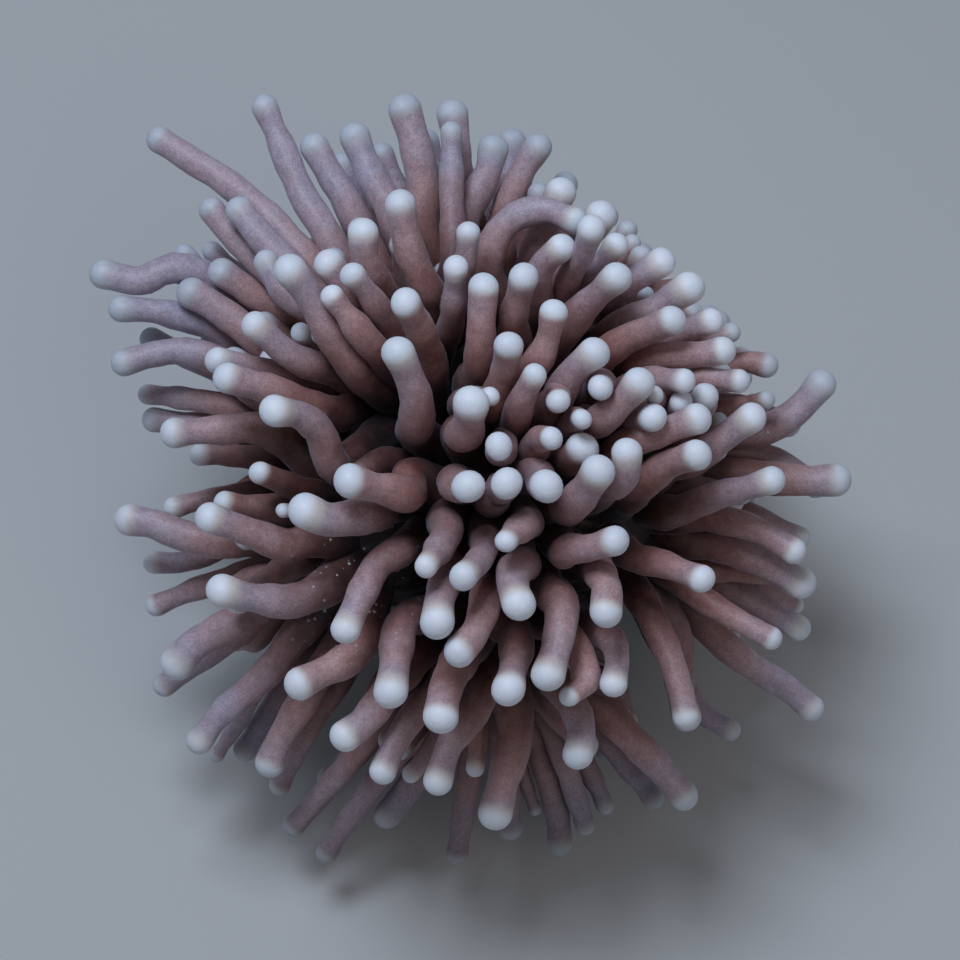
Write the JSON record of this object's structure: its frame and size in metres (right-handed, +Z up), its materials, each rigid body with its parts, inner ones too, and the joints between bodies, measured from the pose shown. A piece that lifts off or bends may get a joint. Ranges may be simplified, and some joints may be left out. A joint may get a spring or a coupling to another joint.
{
  "type": "grape coral",
  "caption": "Grape coral colony: a ball of soft finger-like tentacles with round pale tips, in crowns packed round the head of a short stony trunk cut off flat.",
  "frame": {"origin": "middle of the flat cut face that the trunk stands on", "axes": "+Z up, -Y to the front, +X to the right"},
  "size_m": [0.1515, 0.1384, 0.1354],
  "materials": {
    "polyp_flesh": "soft satin flesh, dusty mauve-brown shafts going red-brown at the roots, with round cream-white tips",
    "coral_skeleton": "rough porous limestone with upright ribs"
  },
  "bodies": {
    "root": {"stony_trunk": "coral_skeleton", "polyp_centre": "polyp_flesh", "polyp_upper_left": "polyp_flesh", "polyp_upper_right": "polyp_flesh", "polyp_right": "polyp_flesh", "polyp_front": "polyp_flesh", "polyp_left": "polyp_flesh", "polyp_back_left": "polyp_flesh", "polyp_back": "polyp_flesh", "polyp_back_right": "polyp_flesh"}
  },
  "joints": []
}
